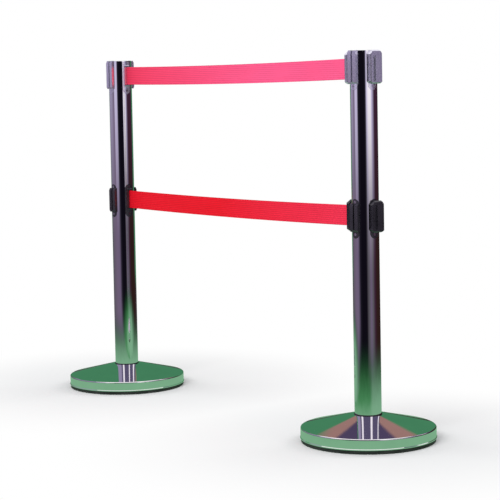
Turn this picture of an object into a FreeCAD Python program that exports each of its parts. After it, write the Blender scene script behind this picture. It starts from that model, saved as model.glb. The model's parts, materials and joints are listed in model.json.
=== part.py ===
"""Retractable belt stanchions: two chrome posts joined by two belts.

Units are millimetres. The floor is Z = 0 and the belts run along X. The left post stands at
X = -post_spacing / 2 and the right post at X = +post_spacing / 2. Each post holds an upper and
a lower cassette. A cassette's belt leaves its post on the +X side, and the other three sides
carry slotted receivers. The left belts are clipped to the right post, and the right post's
own belts are wound in.
"""
import FreeCAD, Part
import os
import re
import Sketcher

Vector = FreeCAD.Vector

SIZES = {
    # The pair
    "post_spacing": 1020,
    "post_height": 910,
    "upper_drop": 42,
    "level_spacing": 342,
    # Base
    "cover_radius": 159,
    "cover_wall": 1,
    "cover_bead": 1,
    "cover_bead_height": 3,
    "rim_height": 34,
    "rim_round": 3,
    "cone_top": 63,
    "cone_top_radius": 40,
    "ring_height": 9,
    "ring_width": 24,
    "ring_inset": 1,
    "ring_round": 2,
    "weight_gap": 0.2,
    "weight_web": 12,
    "weight_rim": 18,
    "boss_radius": 26,
    "boss_seat": 30,
    "bolt_radius": 6,
    "bolt_hole_gap": 0.5,
    "bolt_head_height": 8,
    "bolt_head_radius": 10.4,
    "bolt_reach": 17,
    "washer_radius": 18,
    "washer_thick": 2.5,
    # Tube, foot and cap
    "tube_radius": 31.75,
    "tube_wall": 1.2,
    "gasket_thick": 1.5,
    "gasket_lip": 1.2,
    "gasket_width": 6,
    "plug_height": 20,
    "cap_thick": 3.5,
    "cap_round": 1.2,
    "cap_spigot_radius": 18,
    "cap_spigot_depth": 6,
    "spigot_gap": 0.2,
    # Slot plates, set in windows of the tube
    "plate_width": 24,
    "plate_rise": 41.5,
    "plate_drop": 50,
    "plate_thick": 3.5,
    "plate_proud": 0.2,
    "window_gap": 0.2,
    "block_gap": 0.1,
    # Receivers
    "block_width": 28,
    "block_rise": 31,
    "block_drop": 35,
    "block_proud": 5,
    "block_chamfer": 6,
    "block_foot_chamfer": 5,
    # The clip's tee, which drops into a receiver
    "tee_width": 13,
    "tee_thick": 2.5,
    "tee_rise": 29,
    "tee_drop": 30,
    "tee_neck": 4.4,
    "tee_gap": 0.35,
    "tee_seat_gap": 0.2,
    # Clip
    "clip_width": 36,
    "clip_depth": 12,
    "clip_rise": 38,
    "clip_drop": 35.5,
    "clip_top_fall": 10,
    "clip_top_inset": 8,
    "clip_foot_chamfer": 6,
    "clip_side_chamfer": 3.5,
    "clip_gap": 0.3,
    "grip_groove": 1.6,
    "grip_groove_depth": 0.9,
    "belt_slot_depth": 8.6,
    "belt_slot_width": 1.8,
    "belt_slot_gap": 0.8,
    # Outlet
    "bezel_width": 16,
    "bezel_height": 58,
    "bezel_proud": 2,
    "bezel_chamfer": 1,
    "mouth_width": 3,
    "mouth_gap": 1,
    "mouth_bend": 30.5,
    "mouth_lead": 1.6,
    "mouth_relief": 11,
    # Belt
    "belt_width": 48.5,
    "belt_thick": 0.5,
    "belt_end_gap": 0.6,
    "roll_gap": 0.3,
    "left_roll_radius": 17.5,
    "right_roll_radius": 21.3,
    # Cassette
    "shell_wall": 1.8,
    "shell_floor": 8,
    "lid_lip": 2,
    "lid_lip_wall": 1.5,
    "lid_gap": 0.1,
    "spring_room": 10,
    # Spool, axle and spring
    "flange_radius": 24.5,
    "flange_thick": 2,
    "flange_gap": 0.6,
    "core_radius": 12,
    "axle_radius": 3,
    "axle_gap": 0.05,
    "hub_radius": 5,
    "spring_thick": 0.5,
    "spring_height": 7,
    "spring_turns": 7,
    # Screws
    "screw_radius": 1.6,
    "screw_hole_gap": 0.05,
    "screw_head_radius": 3.2,
    "screw_sink": 0.05,
    "screw_inner": 22,
    "screw_rise": 34.6,
    "screw_drop": 40.8,
    "recess_length": 3.6,
    "recess_width": 0.8,
    "recess_depth": 0.9,
}

doc = FreeCAD.newDocument("BeltStanchions")
sheet = doc.addObject("Spreadsheet::Sheet", "Sizes")
for row, (alias, number) in enumerate(SIZES.items(), start=1):
    sheet.set(f"A{row}", alias)
    sheet.set(f"B{row}", str(number))
    sheet.setAlias(f"B{row}", alias)
doc.recompute()

nodes = []


# ---------------------------------------------------------------- expressions

def linked(expression):
    """Write the sheet's name in front of each size that an expression uses."""
    return re.sub(r"[a-z_]{3,}", lambda word: "Sizes." + word[0] if word[0] in SIZES else word[0],
                  str(expression))


def value(expression):
    return float(sheet.evalExpression(linked(expression)))


def bind(thing, **expressions):
    for prop, expression in expressions.items():
        thing.setExpression(prop, linked(expression))


def move(thing, x="0", y="0", z="0"):
    for axis, expression in zip("xyz", (x, y, z)):
        thing.setExpression("Placement.Base." + axis, linked(expression))


# ---------------------------------------------------------------- building blocks

def box(name, x, y, z):
    """A box given as three (low, high) pairs of expressions."""
    made = doc.addObject("Part::Box", name)
    bind(made, Length=f"({x[1]}) - ({x[0]})", Width=f"({y[1]}) - ({y[0]})",
         Height=f"({z[1]}) - ({z[0]})")
    move(made, x[0], y[0], z[0])
    return made


def cylinder(name, radius, low, high, x="0", y="0"):
    made = doc.addObject("Part::Cylinder", name)
    bind(made, Radius=radius, Height=f"({high}) - ({low})")
    move(made, x, y, low)
    return made


def cross_cylinder(name, radius, low, high, z):
    """A cylinder that lies level, from low to high along X."""
    made = doc.addObject("Part::Cylinder", name)
    bind(made, Radius=radius, Height=f"({high}) - ({low})")
    made.Placement.Rotation = FreeCAD.Rotation(Vector(0, 1, 0), 90)
    move(made, x=low, z=z)
    return made


def fused(name, *shapes):
    made = doc.addObject("Part::MultiFuse", name)
    made.Shapes = list(shapes)
    return made


def shared(name, *shapes):
    made = doc.addObject("Part::MultiCommon", name)
    made.Shapes = list(shapes)
    return made


def less(name, base, tool):
    made = doc.addObject("Part::Cut", name)
    made.Base = base
    made.Tool = tool
    return made


def turned_copy(name, source, turn):
    """The source again, turned about the post's axis."""
    made = doc.addObject("Part::Compound", name)
    made.Links = [source]
    made.Placement.Rotation = FreeCAD.Rotation(Vector(0, 0, 1), turn)
    return made


def outline(body, name, plane, points):
    """A closed outline on one of the body's own planes. Each point is bound to the sheet."""
    sketch = body.newObject("Sketcher::SketchObject", name)
    planes = {feature.Role: feature for feature in body.Origin.OriginFeatures}
    sketch.AttachmentSupport = [(planes[plane], "")]
    sketch.MapMode = "FlatFace"
    corners = [Vector(value(across), value(up), 0) for across, up in points]
    for index, corner in enumerate(corners):
        following = corners[(index + 1) % len(corners)]
        sketch.addGeometry(Part.LineSegment(corner, following), False)
    for index, (across, up) in enumerate(points):
        sketch.addConstraint(Sketcher.Constraint("Coincident", index, 2, (index + 1) % len(points), 1))
        for kind, expression, axis in (("DistanceX", across, -2), ("DistanceY", up, -1)):
            if expression == "0":
                sketch.addConstraint(Sketcher.Constraint("PointOnObject", index, 1, axis))
                continue
            number = sketch.addConstraint(
                Sketcher.Constraint(kind, -1, 1, index, 1, value(expression)))
            sketch.setExpression(f"Constraints[{number}]", linked(expression))
    return sketch


def revolved(name, points):
    """A body turned about Z from an outline of (radius, height) points."""
    body = doc.addObject("PartDesign::Body", name)
    sketch = outline(body, name + "_outline", "XZ_Plane", points)
    turn = body.newObject("PartDesign::Revolution", name + "_turn")
    turn.Profile = sketch
    turn.ReferenceAxis = (sketch, ["V_Axis"])
    turn.Angle = 360
    doc.recompute()
    return body


def padded(name, plane, points, length, both_ways=False):
    """A body raised from an outline, away from its plane or to both sides of it."""
    body = doc.addObject("PartDesign::Body", name)
    pad = body.newObject("PartDesign::Pad", name + "_pad")
    pad.Profile = outline(body, name + "_outline", plane, points)
    bind(pad, Length=length)
    if both_ways:
        pad.SideType = "Symmetric"
    body.Tip = pad
    doc.recompute()
    return body


def ring_edges(body, radius, height):
    """The names of a turned body's round edges of one radius at one height."""
    found = []
    for number, edge in enumerate(body.Shape.Edges, start=1):
        round_edge = isinstance(edge.Curve, Part.Circle)
        if not round_edge or abs(edge.Curve.Radius - value(radius)) > 1e-4:
            continue
        if abs(edge.Curve.Center.z - value(height)) < 1e-4:
            found.append(f"Edge{number}")
    return found


def rounded_ring(body, radius, height, size):
    """Round one circular edge of a turned body."""
    edges = (body.Tip, ring_edges(body, radius, height))
    fillet = body.newObject("PartDesign::Fillet", body.Name + "_round")
    fillet.Base = edges
    bind(fillet, Radius=size)
    doc.recompute()


# ---------------------------------------------------------------- base

def make_base_weight():
    """Cast-iron dish: a heavy rim, a web below the cone and a boss for the bolt."""
    top = "cone_top - cover_wall - weight_gap"
    rim_top = "rim_height - cover_wall - weight_gap"
    outer = "cover_radius - cover_wall - weight_gap"
    hole = "bolt_radius + bolt_hole_gap"
    return revolved("base_weight", [
        (hole, "boss_seat"),
        ("boss_radius", "boss_seat"),
        ("boss_radius", f"{top} - weight_web"),
        (f"{outer} - weight_rim", f"{rim_top} - weight_web"),
        (f"{outer} - weight_rim", "ring_height"),
        (outer, "ring_height"),
        (outer, f"{rim_top} - rim_round"),
        (f"{outer} - rim_round", rim_top),
        ("cone_top_radius", top),
        (hole, top),
    ])


def make_base_cover():
    """Spun stainless skin: a straight rim with a rolled bead, and a shallow cone."""
    inner = "cover_radius - cover_wall"
    hole = "bolt_radius + bolt_hole_gap"
    body = revolved("base_cover", [
        (inner, "ring_height"),
        ("cover_radius + cover_bead", "ring_height"),
        ("cover_radius + cover_bead", "ring_height + cover_bead_height - cover_bead"),
        ("cover_radius", "ring_height + cover_bead_height"),
        ("cover_radius", "rim_height"),
        ("cone_top_radius", "cone_top"),
        (hole, "cone_top"),
        (hole, "cone_top - cover_wall"),
        ("cone_top_radius", "cone_top - cover_wall"),
        (inner, "rim_height - cover_wall"),
    ])
    rounded_ring(body, "cover_radius", "rim_height", "rim_round")
    return body


def make_floor_ring():
    """Rubber ring that the base stands on."""
    outer = "cover_radius - ring_inset"
    body = revolved("floor_ring", [
        (f"{outer} - ring_width", "0"),
        (outer, "0"),
        (outer, "ring_height"),
        (f"{outer} - ring_width", "ring_height"),
    ])
    rounded_ring(body, outer, "0", "ring_round")
    return body


def make_base_bolt():
    """Hexagon bolt, seated on the washer below the weight's boss."""
    head_top = "boss_seat - washer_thick"
    head = doc.addObject("Part::Prism", "bolt_head")
    head.Polygon = 6
    bind(head, Circumradius="bolt_head_radius", Height="bolt_head_height")
    move(head, z=f"{head_top} - bolt_head_height")
    shank = cylinder("bolt_shank", "bolt_radius", head_top,
                     "cone_top + gasket_thick + bolt_reach")
    return fused("base_bolt", head, shank)


def make_base_washer():
    return revolved("base_washer", [
        ("bolt_radius + bolt_hole_gap", "boss_seat - washer_thick"),
        ("washer_radius", "boss_seat - washer_thick"),
        ("washer_radius", "boss_seat"),
        ("bolt_radius + bolt_hole_gap", "boss_seat"),
    ])


# ---------------------------------------------------------------- tube, foot and cap

TUBE_FOOT = "cone_top + gasket_thick"
TUBE_TOP = "post_height - cap_thick"
LEVELS = {"upper": "(post_height - upper_drop)",
          "lower": "(post_height - upper_drop - level_spacing)"}


def make_foot_plug():
    """Steel plug welded in the tube's foot and tapped for the bolt."""
    inner = "tube_radius - tube_wall"
    return revolved("foot_plug", [
        ("bolt_radius", TUBE_FOOT),
        (inner, TUBE_FOOT),
        (inner, f"{TUBE_FOOT} + plug_height"),
        ("bolt_radius", f"{TUBE_FOOT} + plug_height"),
    ])


def make_foot_gasket():
    return revolved("foot_gasket", [
        ("tube_radius - gasket_width", "cone_top"),
        ("tube_radius + gasket_lip", "cone_top"),
        ("tube_radius + gasket_lip", TUBE_FOOT),
        ("tube_radius - gasket_width", TUBE_FOOT),
    ])


def make_top_cap():
    """Thin chrome cap with a spigot that sits in the upper cassette's lid."""
    body = revolved("top_cap", [
        ("0", f"{TUBE_TOP} - cap_spigot_depth"),
        ("cap_spigot_radius", f"{TUBE_TOP} - cap_spigot_depth"),
        ("cap_spigot_radius", TUBE_TOP),
        ("tube_radius", TUBE_TOP),
        ("tube_radius", "post_height"),
        ("0", "post_height"),
    ])
    rounded_ring(body, "tube_radius", "post_height", "cap_round")
    return body


def slot_prism(name, width, low, high, open_top):
    """A flat-sided bar across the post, with a round foot and a round or an open top."""
    half = f"({width}) / 2"
    reach = "tube_radius * 1.5"
    top = high if open_top else f"{high} - {half}"
    parts = [box(name + "_bar", ("0", reach), (f"-{half}", half), (f"{low} + {half}", top)),
             cross_cylinder(name + "_foot", half, "0", reach, f"{low} + {half}")]
    if not open_top:
        parts.append(cross_cylinder(name + "_head", half, "0", reach, f"{high} - {half}"))
    return fused(name, *parts)


def make_window(name, level, open_top):
    """The four holes that the tube has at one level."""
    high = f"{level} + plate_rise + window_gap"
    one = slot_prism(name + "_one", "plate_width + 2 * window_gap",
                     f"{level} - plate_drop - window_gap",
                     "post_height" if open_top else high, open_top)
    return fused(name, *[turned_copy(f"{name}_{turn}", one, turn) for turn in (0, 90, 180, 270)])


def make_post_tube():
    outer = cylinder("tube_outside", "tube_radius", TUBE_FOOT, TUBE_TOP)
    inner = cylinder("tube_inside", "tube_radius - tube_wall", TUBE_FOOT, TUBE_TOP)
    windows = fused("tube_windows", make_window("upper_window", LEVELS["upper"], True),
                    make_window("lower_window", LEVELS["lower"], False))
    return less("post_tube", less("tube_pipe", outer, inner), windows)


# ---------------------------------------------------------------- screws

def screw_body(name, gap, face):
    """A countersunk screw, or with a gap the hole for one, lying along X from the axle."""
    seat = "(tube_radius + plate_proud - screw_sink)"
    shank = f"(screw_radius + {gap})"
    head = f"(screw_head_radius + {gap} + ({face}) - {seat})"
    body = doc.addObject("PartDesign::Body", name)
    sketch = outline(body, name + "_outline", "XZ_Plane", [
        (f"screw_inner - {gap}", "0"),
        (face, "0"),
        (face, head),
        (f"{face} - {head} + {shank}", shank),
        (f"screw_inner - {gap}", shank),
    ])
    turn = body.newObject("PartDesign::Revolution", name + "_turn")
    turn.Profile = sketch
    turn.ReferenceAxis = (sketch, ["H_Axis"])
    turn.Angle = 360
    doc.recompute()
    return body


# The upper level's heads reach the cap, so its plates have a foot row of screws only
SCREW_ROWS = {"upper": ("-screw_drop",), "lower": ("screw_rise", "-screw_drop")}


def make_screw_holes(level):
    """Countersunk holes in the four plates of a level. Level centre is Z = 0."""
    one = screw_body(f"{level}_screw_hole", "screw_hole_gap", "(tube_radius + plate_proud + 1)")
    holes = []
    for height in SCREW_ROWS[level]:
        for turn in (0, 90, 180, 270):
            hole = turned_copy(f"{level}_screw_hole_{turn}", one, turn)
            move(hole, z=height)
            holes.append(hole)
    return fused(f"{level}_screw_holes", *holes)


def make_screw_group():
    """All the countersunk screws of a post, one solid each, flush with the plates."""
    face = "(tube_radius + plate_proud - screw_sink)"
    depth = (f"{face} - recess_depth", f"{face} + recess_depth")
    long_half = ("-recess_length / 2", "recess_length / 2")
    thin_half = ("-recess_width / 2", "recess_width / 2")
    cross = fused("screw_recess", box("recess_level", depth, long_half, thin_half),
                  box("recess_upright", depth, thin_half, long_half))
    one = less("one_screw", screw_body("screw", "0", face), cross)
    group = []
    for level, centre in LEVELS.items():
        for height in SCREW_ROWS[level]:
            for angle in (0, 90, 180, 270):
                screw = turned_copy(f"screw_{level}_{angle}", one, angle)
                move(screw, z=f"{centre} + ({height})")
                group.append(screw)
    made = doc.addObject("Part::Compound", "screw_group")
    made.Links = group
    return made


# ---------------------------------------------------------------- slot plates

BLOCK_FACE = "(tube_radius + block_proud)"
TEE_BACK = "(tube_radius + tee_gap)"
TEE_FRONT = "(tube_radius + tee_gap + tee_thick)"
BLOCK_TOP = {"upper": "upper_drop", "lower": "block_rise"}
PLATE_TOP = {"upper": "(upper_drop - cap_thick - window_gap)", "lower": "plate_rise"}
CUT_TOP = "upper_drop + 1"


def make_plate(level):
    """Curved plate that fills a window. The upper one ends below the cap."""
    bar = slot_prism(f"{level}_plate_bar", "plate_width", "-plate_drop", PLATE_TOP[level],
                     level == "upper")
    outer = cylinder(f"{level}_plate_outside", "tube_radius + plate_proud",
                     "-plate_drop", "plate_rise")
    inner = cylinder(f"{level}_plate_inside", "tube_radius + plate_proud - plate_thick",
                     "-plate_drop", "plate_rise")
    skin = less(f"{level}_plate_skin", outer, inner)
    return shared(f"{level}_plate", bar, skin)


def make_receiver_block(level):
    """Raised block with an upright tee slot, open at the top and in front."""
    face = BLOCK_FACE
    inside = "tube_radius - plate_thick / 2"
    top = BLOCK_TOP[level]
    side = padded(f"{level}_block_side", "XZ_Plane", [
        (inside, "-block_drop"),
        (f"{face} - block_foot_chamfer / 2", "-block_drop"),
        (face, "block_foot_chamfer - block_drop"),
        (face, f"{top} - block_chamfer"),
        (f"{face} - block_chamfer / 2", top),
        (inside, top),
    ], "block_width", both_ways=True)
    tube = cylinder(f"{level}_block_saddle", "tube_radius + block_gap",
                    "-plate_drop", CUT_TOP)
    return less(f"{level}_block", side, tube)


def make_tee_slot(level):
    """The room for a clip's tee and neck. It runs out at the block's top, and above the
    upper plate it is open to the cap behind."""
    upright = ("-tee_drop - tee_seat_gap", CUT_TOP)
    wide = ("-tee_width / 2 - tee_gap", "tee_width / 2 + tee_gap")
    parts = [box(f"{level}_tee_cavity", ("tube_radius + plate_proud", f"{TEE_FRONT} + tee_gap"),
                 wide, upright),
             box(f"{level}_tee_mouth", (TEE_BACK, f"{BLOCK_FACE} + 1"),
                 ("-tee_neck / 2 - tee_gap", "tee_neck / 2 + tee_gap"), upright)]
    if level == "upper":
        parts.append(box("upper_tee_back", ("tube_radius - plate_thick", TEE_FRONT), wide,
                         (PLATE_TOP["upper"], CUT_TOP)))
    return fused(f"{level}_tee_slot", *parts)


def make_receivers(level, plate, holes):
    solid = fused(f"{level}_receiver_solid", plate, make_receiver_block(level))
    one = less(f"{level}_receiver_cut", solid, make_tee_slot(level))
    one = less(f"{level}_receiver", one, holes)
    made = doc.addObject("Part::Compound", f"{level}_receivers_group")
    made.Links = [turned_copy(f"{level}_receiver_{turn}", one, turn) for turn in (90, 180, 270)]
    return made


def make_bezel():
    face = "(tube_radius + plate_proud + bezel_proud)"
    side = padded("bezel_side", "XZ_Plane", [
        ("tube_radius - plate_thick / 2", "-bezel_height / 2"),
        (f"{face} - bezel_chamfer", "-bezel_height / 2"),
        (face, "bezel_chamfer - bezel_height / 2"),
        (face, "bezel_height / 2 - bezel_chamfer"),
        (f"{face} - bezel_chamfer", "bezel_height / 2"),
        ("tube_radius - plate_thick / 2", "bezel_height / 2"),
    ], "bezel_width", both_ways=True)
    slit_half = "(belt_width / 2 + mouth_gap)"
    slit = box("mouth_slit", ("mouth_bend - mouth_lead", f"{face} + 1"),
               ("-mouth_width / 2", "mouth_width / 2"), (f"-{slit_half}", slit_half))
    relief = box("mouth_relief_box", ("flange_radius", "mouth_bend - mouth_lead / 2"),
                 ("-mouth_relief / 2", "mouth_relief / 2"), (f"-{slit_half}", slit_half))
    return side, fused("belt_mouth", slit, relief)


def make_outlet(level, plate, bezel, mouth, holes):
    one = less(f"{level}_outlet_cut", fused(f"{level}_outlet_solid", plate, bezel), mouth)
    return less(f"{level}_outlet", one, holes)


# ---------------------------------------------------------------- cassette

SHELL_RADIUS = "(tube_radius + plate_proud - plate_thick)"
SPOOL_HALF = "(belt_width / 2 + flange_gap + flange_thick)"
SHELL_TOP = f"({SPOOL_HALF} + flange_gap)"
ROOM_FLOOR = f"(-{SPOOL_HALF} - spring_room)"
LID_TOP = "(upper_drop - cap_thick)"
RECESS_FLOOR = f"({LID_TOP} - cap_spigot_depth - spigot_gap)"


def make_cassette_body(mouth, holes):
    """Shell with a thick floor that takes the lower screws and the axle."""
    blank = revolved("shell_blank", [
        ("axle_radius", f"{ROOM_FLOOR} - shell_floor"),
        (SHELL_RADIUS, f"{ROOM_FLOOR} - shell_floor"),
        (SHELL_RADIUS, SHELL_TOP),
        (f"{SHELL_RADIUS} - shell_wall", SHELL_TOP),
        (f"{SHELL_RADIUS} - shell_wall", ROOM_FLOOR),
        ("axle_radius", ROOM_FLOOR),
    ])
    return less("cassette_body", less("shell_cut", blank, mouth), holes)


def make_cassette_lid(holes):
    """Thick lid with a lip inside the shell and a recess for the cap's spigot."""
    lip = f"({SHELL_RADIUS} - shell_wall - lid_gap)"
    blank = revolved("lid_blank", [
        ("axle_radius", SHELL_TOP),
        (f"{lip} - lid_lip_wall", SHELL_TOP),
        (f"{lip} - lid_lip_wall", f"{SHELL_TOP} - lid_lip"),
        (lip, f"{SHELL_TOP} - lid_lip"),
        (lip, SHELL_TOP),
        (SHELL_RADIUS, SHELL_TOP),
        (SHELL_RADIUS, LID_TOP),
        ("cap_spigot_radius + spigot_gap", LID_TOP),
        ("cap_spigot_radius + spigot_gap", RECESS_FLOOR),
        ("axle_radius", RECESS_FLOOR),
    ])
    return less("cassette_lid", blank, holes)


def make_spool():
    """Reel with two flanges. Its bore runs on the axle."""
    bore = "axle_radius + axle_gap"
    half = "(belt_width / 2 + flange_gap)"
    return revolved("spool", [
        (bore, f"-{SPOOL_HALF}"),
        ("flange_radius", f"-{SPOOL_HALF}"),
        ("flange_radius", f"-{half}"),
        ("core_radius", f"-{half}"),
        ("core_radius", half),
        ("flange_radius", half),
        ("flange_radius", SPOOL_HALF),
        (bore, SPOOL_HALF),
    ])


def make_belt_roll(side):
    return revolved(f"{side}_belt_roll", [
        ("core_radius", "-belt_width / 2"),
        (f"{side}_roll_radius", "-belt_width / 2"),
        (f"{side}_roll_radius", "belt_width / 2"),
        ("core_radius", "belt_width / 2"),
    ])


def make_spool_axle():
    """Steel pin from the shell's floor to the lid, with a slotted hub for the spring."""
    hub_high = f"(-{SPOOL_HALF} - flange_gap)"
    return revolved("spool_axle", [
        ("0", f"{ROOM_FLOOR} - shell_floor"),
        ("axle_radius", f"{ROOM_FLOOR} - shell_floor"),
        ("axle_radius", ROOM_FLOOR),
        ("hub_radius", ROOM_FLOOR),
        ("hub_radius", hub_high),
        ("axle_radius", hub_high),
        ("axle_radius", RECESS_FLOOR),
        ("0", RECESS_FLOOR),
    ])


def make_spool_spring():
    """Flat spiral spring that grows from the axle's hub in half turns of growing radius."""
    room = f"({SHELL_RADIUS} - shell_wall - roll_gap - spring_thick - hub_radius)"
    step = f"({room} / spring_turns / 2)"
    half_turns = []
    for number in range(int(2 * value("spring_turns"))):
        reach = f"(hub_radius + {number} * {step})"
        rings = [cylinder(f"spring_outside_{number}", f"{reach} + spring_thick",
                          "0", "spring_height"),
                 cylinder(f"spring_inside_{number}", reach, "0", "spring_height")]
        for ring in rings:
            ring.Angle = 180
        odd = number % 2
        half_turn = turned_copy(f"spring_half_{number}", less(f"spring_cut_{number}", *rings),
                                180 * odd)
        move(half_turn, x=f"{odd} * {step}")
        half_turns.append(half_turn)
    return fused("spool_spring", *half_turns)


# ---------------------------------------------------------------- clip and belt

CLIP_TOP = {"upper": "upper_drop", "lower": "clip_rise"}


def make_clip(level):
    """End clip. X = 0 is the side that the belt enters, and the tee points along +X."""
    half = "clip_width / 2"
    rise = CLIP_TOP[level]
    side = padded(f"{level}_clip_side", "XZ_Plane", [
        ("0", "clip_foot_chamfer - clip_drop"),
        ("clip_foot_chamfer", "-clip_drop"),
        ("clip_depth - clip_foot_chamfer / 2", "-clip_drop"),
        ("clip_depth", "clip_foot_chamfer / 2 - clip_drop"),
        ("clip_depth", f"{rise} - clip_foot_chamfer / 2"),
        ("clip_depth - clip_foot_chamfer / 2", rise),
        ("clip_top_inset", rise),
        ("0", f"{rise} - clip_top_fall"),
    ], "clip_width", both_ways=True)
    inward = "clip_depth / 2 - grip_groove * 1.5"
    section = [("0", f"clip_side_chamfer - {half}"),
               ("clip_side_chamfer", f"-{half}"),
               ("clip_depth - clip_side_chamfer / 2", f"-{half}"),
               ("clip_depth", f"clip_side_chamfer / 2 - {half}"),
               ("clip_depth", f"{half} - clip_side_chamfer / 2"),
               ("clip_depth - clip_side_chamfer / 2", half),
               ("clip_side_chamfer", half),
               ("0", f"{half} - clip_side_chamfer")]
    top = padded(f"{level}_clip_section", "XY_Plane", section, f"2 * ({rise} + clip_drop)",
                 both_ways=True)
    front = padded(f"{level}_clip_front", "YZ_Plane", [
        (f"clip_foot_chamfer - {half}", "-clip_drop"),
        (f"{half} - clip_foot_chamfer", "-clip_drop"),
        (half, "clip_foot_chamfer - clip_drop"),
        (half, f"{rise} - clip_top_fall"),
        (f"{half} - clip_top_inset", rise),
        (f"clip_top_inset - {half}", rise),
        (f"-{half}", f"{rise} - clip_top_fall"),
        (f"-{half}", "clip_foot_chamfer - clip_drop"),
    ], "2 * clip_depth", both_ways=True)
    grooves = []
    for number in (0, 1):
        near = f"{inward} + {number} * grip_groove * 2"
        for hand, low, high in (("near", f"-{half} - 1", f"grip_groove_depth - {half}"),
                                ("far", f"{half} - grip_groove_depth", f"{half} + 1")):
            name = f"{level}_grip_{hand}_{number}"
            grooves.append(box(name, (near, f"{near} + grip_groove"), (low, high),
                               ("clip_top_fall - clip_drop", f"{rise} - clip_top_fall")))
    belt_slot = box(f"{level}_belt_slot", ("-1", "belt_slot_depth"),
                    ("-belt_slot_width / 2", "belt_slot_width / 2"),
                    ("-belt_width / 2 - belt_slot_gap", "belt_width / 2 + belt_slot_gap"))
    blank = shared(f"{level}_clip_blank", side, top, front)
    body = less(f"{level}_clip_body", blank, fused(f"{level}_clip_cuts", belt_slot, *grooves))
    neck_reach = f"clip_depth + clip_gap + {BLOCK_FACE} - {TEE_FRONT}"
    neck_root = "clip_depth / 2 + belt_slot_depth / 2"
    neck = box(f"{level}_tee_neck_bar", (neck_root, f"{neck_reach} + tee_thick / 2"),
               ("-tee_neck / 2", "tee_neck / 2"), ("-tee_drop", "tee_rise"))
    tee = box(f"{level}_tee_bar", (neck_reach, f"{neck_reach} + tee_thick"),
              ("-tee_width / 2", "tee_width / 2"), ("-tee_drop", "tee_rise"))
    return fused(f"{level}_clip", body, neck, tee)


def make_belt(side, far_end):
    """Belt from its roll, over the bend in the mouth, to far_end along X."""
    thick = "belt_thick / 2"
    run = f"({side}_roll_radius + roll_gap + {thick})"
    across = f"({run} / mouth_bend)"
    along = f"sqrt(1 - {across} ^ 2)"
    mitre = f"{thick} * {across} / (1 + {along})"
    return padded(f"{side}_belt", "XY_Plane", [
        (f"{run} * {across} - {thick} * {across}", f"{run} * {along} - {thick} * {along}"),
        (f"mouth_bend - {mitre}", f"-{thick}"),
        (far_end, f"-{thick}"),
        (far_end, thick),
        (f"mouth_bend + {mitre}", thick),
        (f"{run} * {across} + {thick} * {across}", f"{run} * {along} + {thick} * {along}"),
    ], "belt_width", both_ways=True)


# ---------------------------------------------------------------- the two posts

def place(name, source, x, z="0"):
    """A named sub-part: the source's shape at its place in the pair."""
    node = doc.addObject("Part::Compound", "node_" + name)
    node.Label = name
    node.Links = [source]
    move(node, x=x, z=z)
    nodes.append(node)


POST_X = {"left": "-post_spacing / 2", "right": "post_spacing / 2"}
DOCKED_CLIP = f"post_spacing / 2 - {BLOCK_FACE} - clip_gap - clip_depth"
PARKED_CLIP = "post_spacing / 2 + tube_radius + plate_proud + bezel_proud + clip_gap"
CLIP_X = {"left": DOCKED_CLIP, "right": PARKED_CLIP}
BELT_INSERT = "belt_slot_depth - belt_end_gap"
BELT_END = {"left": f"{DOCKED_CLIP} + {BELT_INSERT} + post_spacing / 2",
            "right": f"{PARKED_CLIP} + {BELT_INSERT} - post_spacing / 2"}

post_parts = {
    "floor_ring": make_floor_ring(),
    "base_weight": make_base_weight(),
    "base_cover": make_base_cover(),
    "base_washer": make_base_washer(),
    "base_bolt": make_base_bolt(),
    "foot_gasket": make_foot_gasket(),
    "foot_plug": make_foot_plug(),
    "post_tube": make_post_tube(),
    "top_cap": make_top_cap(),
    "receiver_screws": make_screw_group(),
}
screw_holes = {level: make_screw_holes(level) for level in LEVELS}
bezel, mouth = make_bezel()
plates = {level: make_plate(level) for level in LEVELS}
receivers = {level: make_receivers(level, plate, screw_holes[level])
             for level, plate in plates.items()}
outlets = {level: make_outlet(level, plate, bezel, mouth, screw_holes[level])
           for level, plate in plates.items()}
cassette_parts = {
    "cassette_body": make_cassette_body(mouth, screw_holes["lower"]),
    "cassette_lid": make_cassette_lid(screw_holes["lower"]),
    "spool": make_spool(),
    "spool_axle": make_spool_axle(),
}
spring = make_spool_spring()
clips = {level: make_clip(level) for level in LEVELS}
rolls = {side: make_belt_roll(side) for side in POST_X}
belts = {side: make_belt(side, BELT_END[side]) for side in POST_X}

for side, post_x in POST_X.items():
    for name, source in post_parts.items():
        place(f"{side}_{name}", source, post_x)
    for level, centre in LEVELS.items():
        prefix = f"{side}_{level}_"
        place(prefix + "receivers", receivers[level], post_x, centre)
        place(prefix + "outlet", outlets[level], post_x, centre)
        for name, source in cassette_parts.items():
            place(prefix + name, source, post_x, centre)
        place(prefix + "spool_spring", spring, post_x,
              f"{centre} + {ROOM_FLOOR} + (spring_room - spring_height) / 2")
        place(prefix + "belt_roll", rolls[side], post_x, centre)
        place(prefix + "belt", belts[side], post_x, centre)
        place(prefix + "clip", clips[level], CLIP_X[side], centre)

doc.recompute()

# ---------------------------------------------------------------- checks and files

for thing in doc.Objects:
    if "Invalid" in thing.State or "Error" in thing.State:
        raise RuntimeError(f"{thing.Name} failed: {thing.State}")
for node in nodes:
    if node.Shape.isNull() or not node.Shape.isValid() or not node.Shape.Solids:
        raise RuntimeError(f"{node.Label} has no sound solid")

os.makedirs("parts", exist_ok=True)
for node in nodes:
    node.Shape.exportStep(f"parts/{node.Label}.step")
    print(node.Label, len(node.Shape.Solids), round(node.Shape.Volume, 1))
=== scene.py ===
"""Looks of the retractable belt stanchions: finishes, webbing belts, camera and studio."""
import json
import math

import bmesh
import bpy
from mathutils import Matrix, Vector


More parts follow.
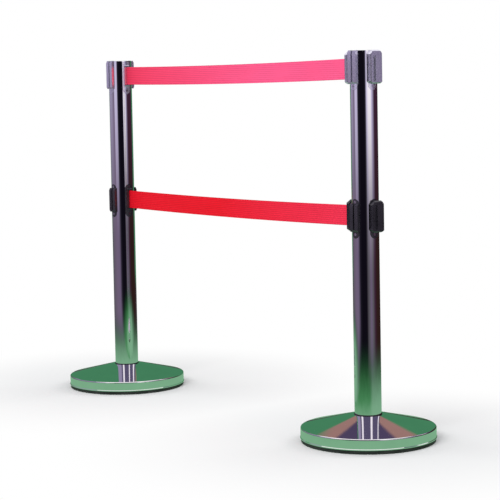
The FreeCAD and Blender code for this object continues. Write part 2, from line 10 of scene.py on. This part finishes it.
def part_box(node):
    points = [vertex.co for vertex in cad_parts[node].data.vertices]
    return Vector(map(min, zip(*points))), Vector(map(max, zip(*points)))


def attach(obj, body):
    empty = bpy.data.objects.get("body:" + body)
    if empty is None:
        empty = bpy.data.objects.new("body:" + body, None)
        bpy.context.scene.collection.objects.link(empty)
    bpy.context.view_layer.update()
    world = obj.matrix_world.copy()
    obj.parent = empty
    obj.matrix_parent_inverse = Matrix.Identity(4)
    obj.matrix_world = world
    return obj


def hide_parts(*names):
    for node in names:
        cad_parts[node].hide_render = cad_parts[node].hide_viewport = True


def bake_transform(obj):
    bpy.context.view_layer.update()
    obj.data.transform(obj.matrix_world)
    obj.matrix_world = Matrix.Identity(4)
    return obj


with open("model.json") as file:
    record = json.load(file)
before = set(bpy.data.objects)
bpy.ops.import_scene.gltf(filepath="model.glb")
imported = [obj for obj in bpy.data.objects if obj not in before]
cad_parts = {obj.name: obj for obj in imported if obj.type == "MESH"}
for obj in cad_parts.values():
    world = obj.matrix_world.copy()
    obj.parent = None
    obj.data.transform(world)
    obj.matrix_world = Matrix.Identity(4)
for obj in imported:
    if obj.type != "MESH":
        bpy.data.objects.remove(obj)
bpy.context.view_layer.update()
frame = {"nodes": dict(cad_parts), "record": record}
NODES = frame["nodes"]
SIDES = ("left", "right")
LEVELS = ("upper", "lower")


def centre_of(node):
    low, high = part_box(node)
    return (low + high) / 2


POST_X = {side: centre_of(f"{side}_top_cap").x for side in SIDES}
LEVEL_Z = {level: centre_of(f"left_{level}_belt").z for level in LEVELS}


# ---------------------------------------------------------------- camera

CAMERA_AZIMUTH = math.radians(52.4)
CAMERA_ELEVATION = math.radians(3.76)
CAMERA_ROLL = math.radians(-1.05)
CAMERA_DISTANCE = 4.318
CAMERA_AIM = (0.044, 0.542)
FOCAL_RATIO = 3.374
SENSOR_WIDTH = 36.0
FRAME_SHIFT = -0.1
FAR_CLIP = 100


def add_camera():
    """A long lens, low down, beside the right post. The aim is (along the view's right, height)."""
    sin_a, cos_a = math.sin(CAMERA_AZIMUTH), math.cos(CAMERA_AZIMUTH)
    sin_e, cos_e = math.sin(CAMERA_ELEVATION), math.cos(CAMERA_ELEVATION)
    right = Vector((cos_a, sin_a, 0))
    back = Vector((sin_a * cos_e, -cos_a * cos_e, sin_e))
    up = back.cross(right)
    rolled_right = right * math.cos(CAMERA_ROLL) + up * math.sin(CAMERA_ROLL)
    rolled_up = up * math.cos(CAMERA_ROLL) - right * math.sin(CAMERA_ROLL)
    place = right * CAMERA_AIM[0] + Vector((0, 0, CAMERA_AIM[1])) + back * CAMERA_DISTANCE
    data = bpy.data.cameras.new("camera")
    data.sensor_width = SENSOR_WIDTH
    data.lens = FOCAL_RATIO * SENSOR_WIDTH
    data.shift_y = FRAME_SHIFT
    data.clip_end = FAR_CLIP
    camera = bpy.data.objects.new("camera", data)
    turn = Matrix((rolled_right, rolled_up, back)).transposed()
    camera.matrix_world = Matrix.Translation(place) @ turn.to_4x4()
    bpy.context.scene.collection.objects.link(camera)
    bpy.context.scene.camera = camera


add_camera()


# ---------------------------------------------------------------- node helper

class Shading:
    """A material's node tree, with short calls to add and join nodes."""

    def __init__(self, name):
        self.material = bpy.data.materials.new(name)
        self.material.use_nodes = True
        self.tree = self.material.node_tree
        self.tree.nodes.clear()
        self.output = self.tree.nodes.new("ShaderNodeOutputMaterial")

    def add(self, kind, sockets=None, **settings):
        node = self.tree.nodes.new("ShaderNode" + kind)
        for key, setting in settings.items():
            setattr(node, key, setting)
        for key, content in (sockets or {}).items():
            self.feed(node.inputs[key], content)
        return node

    def feed(self, socket, content):
        if isinstance(content, bpy.types.NodeSocket):
            self.tree.links.new(content, socket)
        else:
            socket.default_value = content

    def math(self, operation, first, second=0.0, clamp=False):
        node = self.add("Math", {0: first, 1: second}, operation=operation, use_clamp=clamp)
        return node.outputs[0]

    def noise(self, vector, scale, detail=3.0, roughness=0.5):
        node = self.add("TexNoise", {"Vector": vector, "Scale": scale, "Detail": detail,
                                     "Roughness": roughness})
        return node.outputs["Fac"]

    def ramp(self, factor, stops, interpolation="LINEAR"):
        node = self.add("ValToRGB", {"Fac": factor})
        band = node.color_ramp
        band.interpolation = interpolation
        while len(band.elements) < len(stops):
            band.elements.new(0.5)
        for element, (position, color) in zip(band.elements, stops):
            element.position = position
            element.color = (*color, 1)
        return node.outputs["Color"]

    def spread(self, factor, low, high):
        """Map a factor of 0 to 1 on to the range from low to high."""
        node = self.add("MapRange", {"Value": factor, "To Min": low, "To Max": high})
        return node.outputs[0]

    def step(self, number, low, high):
        """A smooth step of 0 to 1 as the number goes from low to high."""
        node = self.add("MapRange", {"Value": number, "From Min": low, "From Max": high},
                        interpolation_type="SMOOTHSTEP")
        return node.outputs[0]

    def tint(self, factor, low, high, stops=(0.3, 0.7)):
        """A colour that drifts from low to high with the factor."""
        return self.ramp(factor, list(zip(stops, (low, high))))

    def blend(self, factor, first, second, blend_type="MIX"):
        """Mix two colours. The node has a set of sockets for each type, and 6, 7 and 2 are
        the colours'."""
        node = self.add("Mix", data_type="RGBA", blend_type=blend_type)
        self.feed(node.inputs["Factor"], factor)
        self.feed(node.inputs[6], first)
        self.feed(node.inputs[7], second)
        return node.outputs[2]

    def place(self, scale=(1, 1, 1)):
        """The point on the object at rest, stretched by scale."""
        point = self.add("TexCoord").outputs["Object"]
        return self.add("Mapping", {"Vector": point, "Scale": scale}).outputs[0]

    def post_distance(self, x, y):
        """The distance over the floor from the nearest post's axis."""
        across = self.math("SUBTRACT", self.math("ABSOLUTE", x), POST_X["right"])
        squared = self.math("ADD", self.math("MULTIPLY", across, across),
                            self.math("MULTIPLY", y, y))
        return self.math("SQRT", squared)

    def bump(self, height, distance):
        return self.add("Bump", {"Height": height, "Distance": distance}).outputs[0]

    def surface(self, **sockets):
        named = {key.replace("_", " "): content for key, content in sockets.items()}
        shader = self.add("BsdfPrincipled", named)
        self.tree.links.new(shader.outputs[0], self.output.inputs["Surface"])
        return self.material


# ---------------------------------------------------------------- materials

# The least and the greatest roughness on one surface, as shares of its own
POLISH_LOW, POLISH_HIGH = 0.6, 1.5
GRAIN_LOW, GRAIN_HIGH = 0.8, 1.2


def chrome(name, low, high, roughness, grain_scale, grain_depth, metallic=1.0):
    """Polished metal: faint drawn lines along grain_scale, and soft smears of polish."""
    shade = Shading(name)
    lines = shade.noise(shade.place(grain_scale), 1.0, 4)
    smears = shade.noise(shade.place((1, 1, 0.35)), 9.0, 5, 0.6)
    tint = shade.tint(smears, low, high)
    gloss = shade.spread(smears, roughness * POLISH_LOW, roughness * POLISH_HIGH)
    return shade.surface(Base_Color=tint, Metallic=metallic, Roughness=gloss,
                         Normal=shade.bump(lines, grain_depth))


def spun_chrome(name, low, high, roughness):
    """Polished metal spun on a lathe: fine rings about each post's axis."""
    shade = Shading(name)
    parts = shade.add("SeparateXYZ", {0: shade.place()})
    radius = shade.post_distance(parts.outputs["X"], parts.outputs["Y"])
    ring = shade.add("CombineXYZ", {"X": radius})
    rings = shade.noise(ring.outputs[0], 900.0, 3)
    smears = shade.noise(shade.place(), 14.0, 5, 0.6)
    tint = shade.tint(smears, low, high)
    gloss = shade.spread(smears, roughness * POLISH_LOW, roughness * POLISH_HIGH)
    return shade.surface(Base_Color=tint, Metallic=1.0, Roughness=gloss,
                         Normal=shade.bump(rings, 0.00001))


def moulded(name, low, high, roughness, grain=2200.0, depth=0.00004, specular=0.5):
    """Moulded plastic or rubber: fine spark-eroded grain and slight shifts of colour."""
    shade = Shading(name)
    clouds = shade.noise(shade.place(), 30.0, 4)
    fine = shade.noise(shade.place(), grain, 2)
    tint = shade.tint(clouds, low, high)
    gloss = shade.spread(clouds, roughness * GRAIN_LOW, roughness * GRAIN_HIGH)
    return shade.surface(Base_Color=tint, Roughness=gloss, Specular_IOR_Level=specular,
                         Normal=shade.bump(fine, depth))


def cast_metal(name, low, high, roughness, metallic, grain, depth):
    """Cast, forged or zinc-plated metal: fine pits and slight shifts of colour."""
    shade = Shading(name)
    pits = shade.noise(shade.place(), grain, 6, 0.65)
    clouds = shade.noise(shade.place(), 18.0, 4)
    tint = shade.tint(clouds, low, high)
    gloss = shade.spread(pits, roughness * GRAIN_LOW, roughness * GRAIN_HIGH)
    return shade.surface(Base_Color=tint, Metallic=metallic, Roughness=gloss,
                         Normal=shade.bump(pits, depth))


RIBS = 10
BELT_WIDTH = 0.0485
BELT_RED = ((0.74, 0.003, 0.012), (0.86, 0.005, 0.022))
# The pink of the painted glare: bright light washing out the red, not a colour of the dye
PAINTED_GLARE_RED = ((0.92, 0.088, 0.225), (1.0, 0.112, 0.275))
# The painted shade in the valleys between the ribs, as the share of the colour that stays, and how
# wide the crests' slopes are
RIB_VALLEY_SHADE = 0.62
CREST_SLOPE = 0.55
TWILL_ANGLE = math.radians(32)
TWILL_SCALE = 260.0
THREADS = (180, 2600, 1)
WEAR = (7, 40, 1)
TWILL_SHARE = 0.35
WEAVE_SHARE = 0.6
WEAVE_DEPTH = 0.00012
# How strong the painted glare that washes the red to pink is at the left and at the right, 0 to 1
PAINTED_GLARE = {"upper": (0.36, 1.0), "lower": (0.0, 0.26)}
# The stretch over which the painted glare grows, in metres from the left post's axis
PAINTED_GLARE_SPAN = {"upper": (0.0, 0.64), "lower": (0.45, 1.0)}


def webbing(name, glare, span):
    """Woven polyester: diagonal twill in each lengthwise rib, with a painted glare that washes the
    red to pink towards the right. The map's U is metres along the belt and V is metres across it."""
    shade = Shading(name)
    uv = shade.add("UVMap", uv_map="weave").outputs[0]

    def streaky(scale):
        return shade.noise(shade.add("Mapping", {"Vector": uv, "Scale": scale}).outputs[0], 1.0, 3)

    def weighed(first, second, share):
        return shade.math("ADD", shade.math("MULTIPLY", first, share),
                          shade.math("MULTIPLY", second, 1 - share))

    twill_place = shade.add("Mapping", {"Vector": uv, "Rotation": (0, 0, TWILL_ANGLE)})
    twill = shade.add("TexWave", {"Vector": twill_place.outputs[0], "Scale": TWILL_SCALE,
                                  "Distortion": 0.6, "Detail": 1.0}, bands_direction="X")
    woven = weighed(twill.outputs["Fac"], streaky(THREADS), TWILL_SHARE)
    cloudy = weighed(woven, streaky(WEAR), WEAVE_SHARE)
    plain_red = shade.tint(cloudy, *BELT_RED, stops=(0.25, 0.75))
    glared = shade.tint(cloudy, *PAINTED_GLARE_RED, stops=(0.25, 0.75))
    place = shade.add("SeparateXYZ", {0: uv})
    from_post = shade.math("SUBTRACT", place.outputs["X"], POST_X["left"])
    share = shade.add("MapRange", {"Value": from_post, "From Min": span[0], "From Max": span[1],
                                   "To Min": glare[0], "To Max": glare[1]})
    # Painted glare: the red washed towards pink, more so towards the right
    tint = shade.blend(share.outputs[0], plain_red, glared)
    wave = shade.math("SINE", shade.math("MULTIPLY", place.outputs["Y"],
                                         math.pi * RIBS / BELT_WIDTH))
    crest = shade.step(shade.math("ABSOLUTE", wave), 0.0, CREST_SLOPE)
    # Painted shade: the valleys between the ribs darker than the crests
    valley_shade = shade.add("VectorMath", {0: tint, "Scale": RIB_VALLEY_SHADE}, operation="SCALE")
    ribbed = shade.blend(crest, valley_shade.outputs[0], tint)
    return shade.surface(Base_Color=ribbed, Roughness=0.65, Specular_IOR_Level=0.12,
                         Normal=shade.bump(woven, WEAVE_DEPTH))


def wound_webbing(name):
    """The wound belt's edge and face: fine turns about the reel's axis."""
    shade = Shading(name)
    turns = shade.noise(shade.place((1500, 1500, 60)), 1.0, 3)
    tint = shade.tint(turns, *BELT_RED)
    return shade.surface(Base_Color=tint, Roughness=0.75, Normal=shade.bump(turns, 0.0001))


FINISHES = {
    "tube_chrome": chrome("tube_chrome", (0.86, 0.85, 0.88), (0.93, 0.92, 0.94), 0.035,
                          (420, 420, 3), 0.000004),
    "cap_chrome": chrome("cap_chrome", (0.86, 0.86, 0.88), (0.93, 0.93, 0.94), 0.05,
                         (60, 60, 60), 0.00002),
    "base_chrome": spun_chrome("base_chrome", (0.86, 0.86, 0.88), (0.93, 0.93, 0.94), 0.04),
    "screw_chrome": chrome("screw_chrome", (0.85, 0.85, 0.86), (0.95, 0.95, 0.95), 0.12,
                           (900, 900, 900), 0.00003),
    "cast_iron": cast_metal("cast_iron", (0.035, 0.035, 0.038), (0.07, 0.068, 0.066), 0.7, 0.4,
                            420, 0.0005),
    "zinc_steel": cast_metal("zinc_steel", (0.50, 0.50, 0.49), (0.64, 0.65, 0.66), 0.35, 1.0,
                             900, 0.00004),
    "spring_steel": cast_metal("spring_steel", (0.20, 0.22, 0.28), (0.34, 0.35, 0.40), 0.3, 1.0,
                               700, 0.00003),
    "floor_rubber": moulded("floor_rubber", (0.012, 0.013, 0.013), (0.03, 0.032, 0.03), 0.65,
                            1200, 0.0001),
    "gasket_rubber": moulded("gasket_rubber", (0.01, 0.01, 0.012), (0.025, 0.024, 0.028), 0.5,
                             1500, 0.00008),
    "head_plating": chrome("head_plating", (0.74, 0.71, 0.84), (0.86, 0.83, 0.95), 0.24,
                           (70, 70, 70), 0.00002, metallic=0.9),
    "receiver_plastic": moulded("receiver_plastic", (0.014, 0.013, 0.018), (0.026, 0.023, 0.032),
                                0.24, depth=0.00002, specular=0.7),
    "clip_plastic": moulded("clip_plastic", (0.014, 0.013, 0.018), (0.026, 0.023, 0.032), 0.24,
                            depth=0.00002, specular=0.7),
    "cassette_plastic": moulded("cassette_plastic", (0.02, 0.02, 0.022), (0.035, 0.035, 0.036), 0.5),
    "spool_plastic": moulded("spool_plastic", (0.42, 0.42, 0.41), (0.55, 0.55, 0.53), 0.45),
    "belt_webbing": wound_webbing("wound_webbing"),
}
# Two copies of the webbing, lit and shaded by painted glare, the upper one more than the lower
WEBBING = {level: webbing(f"{level}_webbing", PAINTED_GLARE[level], PAINTED_GLARE_SPAN[level])
           for level in LEVELS}
SLOT_OF = {part["node"]: part["material_slot"] for part in frame["record"]["subparts"]}

for node, cad_object in NODES.items():
    cad_object.data.materials.clear()
    cad_object.data.materials.append(FINISHES[SLOT_OF[node]])


# ---------------------------------------------------------------- pieces that replace CAD nodes

MERGE_DISTANCE = 1e-6
FLAT_ANGLE = math.radians(1.5)
SHARP_ANGLE = math.radians(30)
EDGE_ROUND = {"clip": 0.0009, "receivers": 0.0005, "outlet": 0.0004}


def new_piece(name, mesh):
    made = bpy.data.objects.new(name, mesh)
    bpy.context.scene.collection.objects.link(made)
    return made


def body_of_node(node):
    for body, members in frame["record"]["behaviour"]["bodies"].items():
        if node in members:
            return body
    raise KeyError(node)


def soften(node, width):
    """Replace a node by its own form with the sharp moulded edges rounded."""
    form = bmesh.new()
    form.from_mesh(NODES[node].data)
    bmesh.ops.remove_doubles(form, verts=form.verts, dist=MERGE_DISTANCE)
    bmesh.ops.dissolve_limit(form, angle_limit=FLAT_ANGLE, verts=form.verts, edges=form.edges)
    mesh = bpy.data.meshes.new(node + "_soft")
    form.to_mesh(mesh)
    form.free()
    for face in mesh.polygons:
        face.use_smooth = True
    piece = new_piece(node + "_moulding", mesh)
    bevel = piece.modifiers.new("round", "BEVEL")
    bevel.width = width
    bevel.segments = 3
    bevel.limit_method = "ANGLE"
    bevel.angle_limit = SHARP_ANGLE
    flat = piece.modifiers.new("flat_faces", "WEIGHTED_NORMAL")
    flat.weight = 100
    mesh.materials.append(FINISHES[SLOT_OF[node]])
    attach(piece, body_of_node(node))
    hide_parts(node)


for side in SIDES:
    for level in LEVELS:
        for part, width in EDGE_ROUND.items():
            soften(f"{side}_{level}_{part}", width)


# ---------------------------------------------------------------- belts

BELT_THICK = 0.0005
RIB_DEPTH = 0.00012
RIB_SAMPLES = 6
# Below 1, the ribs are fuller than a sine and the valleys between them narrower
RIB_FULLNESS = 0.5
EDGE_SAMPLES = 3
BELT_SAG = 0.004
# The end of a long belt, made as a piece of its own
TAIL_LENGTH = 0.15
# From a post's axis to where its belts begin, behind the mouth
INSIDE_MOUTH = 0.0285
# The number of steps along the long belt's stretch, along its end and along the short belt
STRETCH_STEPS = 160
TAIL_STEPS = 60
SHORT_STEPS = 80


def belt_section():
    """The belt's closed section as (across, out) pairs: shallow ribs on both faces."""
    face = []
    count = RIBS * RIB_SAMPLES
    for step in range(count + 1):
        share = step / count
        ribbed = RIB_DEPTH * abs(math.sin(math.pi * RIBS * share)) ** RIB_FULLNESS
        edge = min(1.0, min(share, 1 - share) * count / EDGE_SAMPLES)
        face.append(((share - 0.5) * BELT_WIDTH, edge * (BELT_THICK / 2 - RIB_DEPTH + ribbed)))
    back = [(across, -out) for across, out in reversed(face[1:-1])]
    return face + back


def belt_piece(name, start_x, end_x, level, sag_line, steps, closed=(True, True)):
    """A strip of webbing along X. sag_line gives the drop at each x, and closed says which
    ends are closed: an end that runs on into another piece is left open."""
    section = belt_section()
    form = bmesh.new()
    weave = form.loops.layers.uv.new("weave")
    rows = []
    for step in range(steps + 1):
        x = start_x + (end_x - start_x) * step / steps
        drop = sag_line(x)
        rows.append([form.verts.new((x, out, LEVEL_Z[level] + across - drop))
                     for across, out in section])
    count = len(section)
    for step in range(steps):
        for index in range(count):
            following = (index + 1) % count
            corners = [rows[step][index], rows[step + 1][index],
                       rows[step + 1][following], rows[step][following]]
            face = form.faces.new(corners)
            for loop in face.loops:
                loop[weave].uv = (loop.vert.co.x, loop.vert.co.z - LEVEL_Z[level])
            face.smooth = True
    if closed[0]:
        form.faces.new(reversed(rows[0]))
    if closed[1]:
        form.faces.new(rows[-1])
    bmesh.ops.recalc_face_normals(form, faces=form.faces)
    mesh = bpy.data.meshes.new(name)
    form.to_mesh(mesh)
    form.free()
    mesh.materials.append(WEBBING[level])
    piece = new_piece(name, mesh)
    return piece


def add_long_belt(level):
    """The left post's belt: the stretch between the posts and its end at the docked clip."""
    start = POST_X["left"] + INSIDE_MOUTH
    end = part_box(f"left_{level}_belt")[1].x
    join = end - TAIL_LENGTH
    middle = (start + end) / 2
    half = (end - start) / 2

    def sag(x):
        return BELT_SAG * (1 - ((x - middle) / half) ** 2)

    stretch = belt_piece(f"{level}_belt_stretch", start, join, level, sag, STRETCH_STEPS,
                         (True, False))
    tail = belt_piece(f"{level}_belt_end", join, end, level, sag, TAIL_STEPS, (False, True))
    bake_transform(stretch)
    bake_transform(tail)
    for piece, length in ((stretch, join - start), (tail, end - join)):
        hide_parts(f"left_{level}_belt")


def add_short_belt(level):
    """The right post's belt, wound in: only its end shows at the parked clip."""
    start = POST_X["right"] + INSIDE_MOUTH
    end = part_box(f"right_{level}_belt")[1].x
    piece = belt_piece(f"{level}_short_belt", start, end, level, lambda x: 0.0, SHORT_STEPS)
    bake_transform(piece)
    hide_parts(f"right_{level}_belt")


for level in LEVELS:
    add_long_belt(level)
    add_short_belt(level)


# ---------------------------------------------------------------- studio

SURROUND_RADIUS = 2.0
SURROUND_HEIGHT = 2.4
# Just clear of the floor, so that the two don't lie in one plane
SURROUND_FOOT = 0.0004
ROUND_SIDES = 96
FLOOR_RADIUS = 40
BLACK = (0.005, 0.004, 0.008)
DUSK = (0.018, 0.016, 0.026)
PLUM = (0.17, 0.125, 0.20)
PALE_PLUM = (0.33, 0.29, 0.43)
GREY = (0.11, 0.10, 0.12)
MAROON = (0.045, 0.016, 0.035)
DIM_MAROON = (0.028, 0.012, 0.011)
LAVENDER = (0.62, 0.57, 0.78)
DIM_LAVENDER = (0.16, 0.12, 0.20)
WHITE = (1.0, 0.95, 1.0)
PURPLE = (0.11, 0.095, 0.17)
DEEP_PURPLE = (0.075, 0.055, 0.115)
WALL_GREEN = (0.060, 0.225, 0.110)
PINK_BROWN = (0.34, 0.19, 0.17)

# (azimuth in degrees from +X, colour): painted reflections of the room level with the posts' tops
HIGH_STREAKS = [
    (-180, PALE_PLUM), (-150, PALE_PLUM), (-118, PLUM), (-109, LAVENDER), (-88, LAVENDER),
    (-79, DUSK), (-60, BLACK), (-31, BLACK), (-22, DUSK), (-15, LAVENDER), (-9, WHITE),
    (10, WHITE), (17, LAVENDER), (27, PALE_PLUM), (40, MAROON), (100, MAROON), (170, GREY),
    (180, PALE_PLUM),
]
# The same painted reflections near the floor, where they are dim
LOW_STREAKS = [
    (-180, GREY), (-124, PLUM), (-97, DIM_LAVENDER), (-76, DUSK), (-60, BLACK), (-28, BLACK),
    (-14, GREY), (-2, DIM_LAVENDER), (12, GREY), (25, MAROON), (47, DIM_MAROON),
    (100, DIM_MAROON), (180, GREY),
]
# Painted reflections of the room above the posts, which the sloping base covers mirror
CEILING_STREAKS = [
    (-180, WALL_GREEN), (-172, WALL_GREEN), (-166, PALE_PLUM), (-120, PALE_PLUM),
    (-108, PURPLE), (-97, PURPLE), (-95, WHITE), (-77, WHITE), (-75, PURPLE), (-15, PURPLE),
    (-13, WHITE), (0, WHITE), (2, PURPLE), (56, PURPLE), (59, WHITE), (72, WHITE),
    (75, PURPLE), (96, PURPLE), (104, WALL_GREEN), (180, WALL_GREEN),
]
# (distance from the nearest post in metres, colour): the painted reflection of a green floor
FLOOR_GREENS = [
    (0.30, (0.21, 0.44, 0.26)), (0.46, (0.20, 0.42, 0.25)), (0.66, (0.15, 0.32, 0.19)),
    (0.92, (0.085, 0.20, 0.11)), (1.2, (0.045, 0.115, 0.065)), (1.6, (0.02, 0.05, 0.03)),
]
GREEN_REACH = (0.6, 1.7)
# How high up the room's wall the floor's green runs, and how ragged its shades' edges are
GREEN_HEIGHT = 0.06
GREEN_RAGGED = 0.08
# Where the pale floor with its shadows starts to fade to white, and where it is white
FLOOR_NEAR, FLOOR_FAR = 0.16, 0.75
AMBIENT = 0.55
# name: (place, size, power), all aimed at the middle of the posts
LAMPS = {
    "key": ((1.6, -3.0, 2.6), (2.2, 2.2), 75),
    "fill": ((-3.0, -1.6, 2.0), (2.0, 2.0), 28),
    "back": ((0.5, 3.0, 2.4), (2.4, 1.6), 30),
}
LAMP_AIM = (0, 0, 0.5)
# The heights between which one part of the room gives way to the next
HIGH_FROM, HIGH_TO = 0.20, 0.92
CEILING_FROM, CEILING_TO = 0.97, 1.03
# Windows are azimuths in degrees: from nothing to full, and from full to nothing.
# Behind the posts, a green wall from near the floor up
REAR_WINDOW = (107, 112, 166, 176)
REAR_FROM, REAR_TO = 0.05, 0.15
# Above it, a band of pink brown and then one of deep purple
PINK_WINDOW = (104, 112, 142, 146)
PINK_FROM, PINK_TO = 1.30, 1.42
DARK_FROM, DARK_TO = 1.78, 1.86
# Across the middle of the view the floor's reflection is dimmer and a deeper green
DEEP_WINDOW = (-92, -66, -16, 2)
DEEP_FROM, DEEP_TO = 0.22, 0.62
DEEP_GREEN = (0.36, 0.66, 0.42)


def visible_only_in_reflections(thing):
    thing.visible_camera = False
    thing.visible_diffuse = False
    thing.visible_transmission = False
    thing.visible_shadow = False


def surround_material():
    """Painted reflections: upright streaks by azimuth that dim towards a green floor, and a brighter
    upper room.
    """
    shade = Shading("surround")
    parts = shade.add("SeparateXYZ", {0: shade.place()})
    x, y, z = (parts.outputs[axis] for axis in "XYZ")
    azimuth = shade.math("DEGREES", shade.math("ARCTAN2", y, x))
    turn = shade.math("DIVIDE", shade.math("ADD", azimuth, 180.0), 360.0)

    def streaks(stops):
        return shade.ramp(turn, [((angle + 180) / 360, color) for angle, color in stops])

    def window(edges):
        rising = shade.step(azimuth, edges[0], edges[1])
        falling = shade.step(azimuth, edges[3], edges[2])
        return shade.math("MULTIPLY", rising, falling)

    room = shade.blend(shade.step(z, HIGH_FROM, HIGH_TO), streaks(LOW_STREAKS),
                       streaks(HIGH_STREAKS))
    behind = shade.math("MULTIPLY", window(REAR_WINDOW), shade.step(z, REAR_FROM, REAR_TO))
    room = shade.blend(behind, room, (*WALL_GREEN, 1))
    ragged = shade.spread(shade.noise(shade.place(), 5.0, 3), -GREEN_RAGGED, GREEN_RAGGED)
    reach = shade.math("ADD", shade.post_distance(x, y), ragged)
    span = FLOOR_GREENS[-1][0]
    greens = shade.ramp(shade.math("DIVIDE", reach, span),
                        [(distance / span, color) for distance, color in FLOOR_GREENS])
    low = shade.step(z, GREEN_HEIGHT, 0.0)
    deep = shade.math("MULTIPLY", window(DEEP_WINDOW), shade.step(reach, DEEP_FROM, DEEP_TO))
    greens = shade.blend(deep, greens, (*DEEP_GREEN, 1), "MULTIPLY")
    near = shade.math("MULTIPLY", shade.step(reach, GREEN_REACH[1], GREEN_REACH[0]), low)
    room = shade.blend(near, room, greens)
    room = shade.blend(shade.step(z, CEILING_FROM, CEILING_TO), room, streaks(CEILING_STREAKS))
    pink = shade.math("MULTIPLY", window(PINK_WINDOW), shade.step(z, PINK_FROM, PINK_TO))
    room = shade.blend(pink, room, (*PINK_BROWN, 1))
    dark = shade.math("MULTIPLY", window(PINK_WINDOW), shade.step(z, DARK_FROM, DARK_TO))
    room = shade.blend(dark, room, (*DEEP_PURPLE, 1))
    # The painted reflections glow, though the sheet is no lamp and gives the object no light
    glow = shade.add("Emission", {"Color": room, "Strength": 1.0})
    shade.tree.links.new(glow.outputs[0], shade.output.inputs["Surface"])
    return shade.material


def add_surround():
    """A round glowing sheet about the object, painted with reflections of a room and seen only in
    its polished surfaces.
    """
    form = bmesh.new()
    middle = SURROUND_FOOT + SURROUND_HEIGHT / 2
    bmesh.ops.create_cone(form, cap_ends=True, segments=ROUND_SIDES, radius1=SURROUND_RADIUS,
                          radius2=SURROUND_RADIUS, depth=SURROUND_HEIGHT,
                          matrix=Matrix.Translation((0, 0, middle)))
    top = [face for face in form.faces if face.calc_center_median().z > SURROUND_HEIGHT * 0.9]
    bmesh.ops.delete(form, geom=top, context="FACES_ONLY")
    mesh = bpy.data.meshes.new("surround")
    form.to_mesh(mesh)
    form.free()
    mesh.materials.append(surround_material())
    visible_only_in_reflections(new_piece("surround", mesh))


def seen_directly(tree):
    """1 where the camera sees a thing itself or in glass or metal, and 0 where it gives light."""
    path = tree.nodes.new("ShaderNodeLightPath")
    total = path.outputs["Is Camera Ray"]
    for kind in ("Is Glossy Ray", "Is Transmission Ray"):
        adding = tree.nodes.new("ShaderNodeMath")
        adding.operation = "ADD"
        adding.use_clamp = True
        tree.links.new(total, adding.inputs[0])
        tree.links.new(path.outputs[kind], adding.inputs[1])
        total = adding.outputs[0]
    return total


def floor_material():
    """Pale floor with the posts' shadows near them, white farther away."""
    shade = Shading("pale_floor")
    tint = shade.tint(shade.noise(shade.place(), 1.5, 2), (0.90, 0.90, 0.90),
                      (0.93, 0.93, 0.925))
    diffuse = shade.add("BsdfDiffuse", {"Color": tint})
    far = shade.add("Emission", {"Color": (1, 1, 1, 1), "Strength": 1.0})
    parts = shade.add("SeparateXYZ", {0: shade.place()})
    distance = shade.post_distance(parts.outputs["X"], parts.outputs["Y"])
    fade = shade.step(distance, FLOOR_NEAR, FLOOR_FAR)
    white = shade.math("MULTIPLY", fade, seen_directly(shade.tree))
    mix = shade.add("MixShader", {0: white, 1: diffuse.outputs[0], 2: far.outputs[0]})
    shade.tree.links.new(mix.outputs[0], shade.output.inputs["Surface"])
    return shade.material


def add_floor():
    form = bmesh.new()
    bmesh.ops.create_circle(form, cap_ends=True, segments=ROUND_SIDES, radius=FLOOR_RADIUS)
    mesh = bpy.data.meshes.new("floor")
    form.to_mesh(mesh)
    form.free()
    mesh.materials.append(floor_material())
    new_piece("floor", mesh)


def add_world():
    """White where it is seen, and a dimmer, even light on the object."""
    world = bpy.data.worlds.new("studio")
    bpy.context.scene.world = world
    world.use_nodes = True
    tree = world.node_tree
    tree.nodes.clear()
    output = tree.nodes.new("ShaderNodeOutputWorld")
    seen = tree.nodes.new("ShaderNodeBackground")
    seen.inputs["Color"].default_value = (1, 1, 1, 1)
    seen.inputs["Strength"].default_value = 1.0
    light = tree.nodes.new("ShaderNodeBackground")
    light.inputs["Color"].default_value = (0.97, 0.98, 1.0, 1)
    light.inputs["Strength"].default_value = AMBIENT
    mix = tree.nodes.new("ShaderNodeMixShader")
    tree.links.new(seen_directly(tree), mix.inputs[0])
    tree.links.new(light.outputs[0], mix.inputs[1])
    tree.links.new(seen.outputs[0], mix.inputs[2])
    tree.links.new(mix.outputs[0], output.inputs["Surface"])


def add_lamp(name, place, size, power):
    """A soft lamp that lights the object and isn't seen in its polished surfaces."""
    data = bpy.data.lights.new(name, "AREA")
    data.shape = "RECTANGLE"
    data.size, data.size_y = size
    data.energy = power
    lamp = bpy.data.objects.new(name, data)
    lamp.location = place
    lamp.rotation_euler = (Vector(LAMP_AIM) - Vector(place)).to_track_quat("-Z", "Y").to_euler()
    lamp.visible_camera = False
    lamp.visible_glossy = False
    bpy.context.scene.collection.objects.link(lamp)


add_surround()
add_floor()
add_world()
for lamp_name, (lamp_place, lamp_size, lamp_power) in LAMPS.items():
    add_lamp(lamp_name, lamp_place, lamp_size, lamp_power)

bpy.context.scene.view_settings.view_transform = "Standard"
